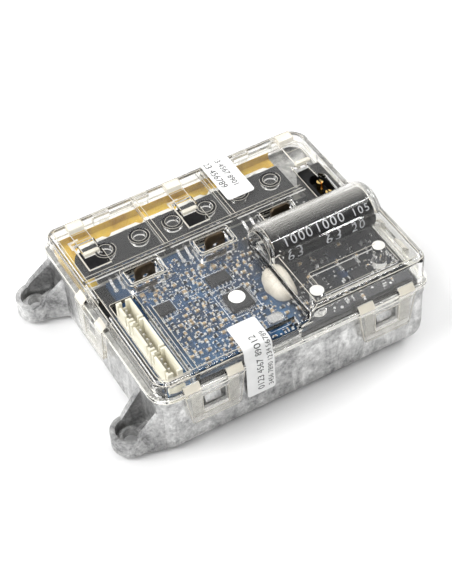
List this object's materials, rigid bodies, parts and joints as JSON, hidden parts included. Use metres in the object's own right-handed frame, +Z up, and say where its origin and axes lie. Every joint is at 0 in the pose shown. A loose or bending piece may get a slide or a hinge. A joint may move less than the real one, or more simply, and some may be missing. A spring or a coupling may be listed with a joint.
{
  "type": "electronic speed controller",
  "caption": "Motor speed controller: cast aluminium tray with two screw lugs, potted power board and a clear clip-on cover with a domed capacitor housing.",
  "frame": {"origin": "on the mounting plane under the flat bottom of the tray, 0.6 mm left of and 1.4 mm nearer than the middle of its rim", "axes": "+X along the tray's long side, away from the screw lugs and towards the battery connector; +Y across the tray towards the power transistors; +Z up through the cover"},
  "size_m": [0.1002, 0.0757, 0.0365],
  "materials": {
    "cast_alu": "die cast, satin",
    "board": "blue solder mask",
    "potting": "black resin",
    "epoxy": "moulded epoxy",
    "tinned": "tin plate",
    "silicone_grey": "thermal pad",
    "foam_black": "black sheet",
    "amber_film": "polyimide film",
    "bronze_tab": "dull plated tab",
    "alu_can": "drawn can",
    "black_sleeve": "heat-shrunk PVC",
    "bung": "matte",
    "silicone_white": "cured bead",
    "housing_black": "moulded nylon",
    "gold": "gold plate",
    "ivory": "moulded nylon",
    "sticker_white": "coated paper",
    "mlcc": "ceramic",
    "clear": "clear polycarbonate",
    "seal_white": "coated paper"
  },
  "bodies": {
    "controller": {"heatsink_base": "cast_alu", "circuit_board": "board", "potting_compound": "potting", "transistor_bodies": "epoxy", "transistor_tabs": "tinned", "transistor_legs": "tinned", "thermal_pad": "silicone_grey", "pressure_pad": "foam_black", "polyimide_tape": "amber_film", "phase_tab_u": "bronze_tab", "phase_tab_v": "bronze_tab", "phase_tab_w": "bronze_tab", "capacitor_can": "alu_can", "capacitor_sleeve": "black_sleeve", "capacitor_bung": "bung", "capacitor_leads": "tinned", "silicone_bead": "silicone_white", "battery_connector_housing": "housing_black", "battery_connector_pins": "gold", "signal_header_3way": "ivory", "signal_header_5way": "ivory", "signal_header_4way": "ivory", "signal_header_pins": "tinned", "microcontroller": "epoxy", "microcontroller_leads": "tinned", "round_sticker": "sticker_white", "driver_ic_bodies": "epoxy", "driver_ic_leads": "tinned", "crystal": "tinned", "shunt_resistors": "epoxy", "chip_resistors": "epoxy", "chip_capacitors": "mlcc"},
    "cover": {"clear_cover": "clear", "seal_label_near": "seal_white", "seal_label_far": "seal_white"}
  },
  "joints": [
    {"name": "cover_lift", "type": "slide", "parent": "controller", "child": "cover", "axis": [0, 0, 1], "range_m": [0, 0.04]}
  ]
}
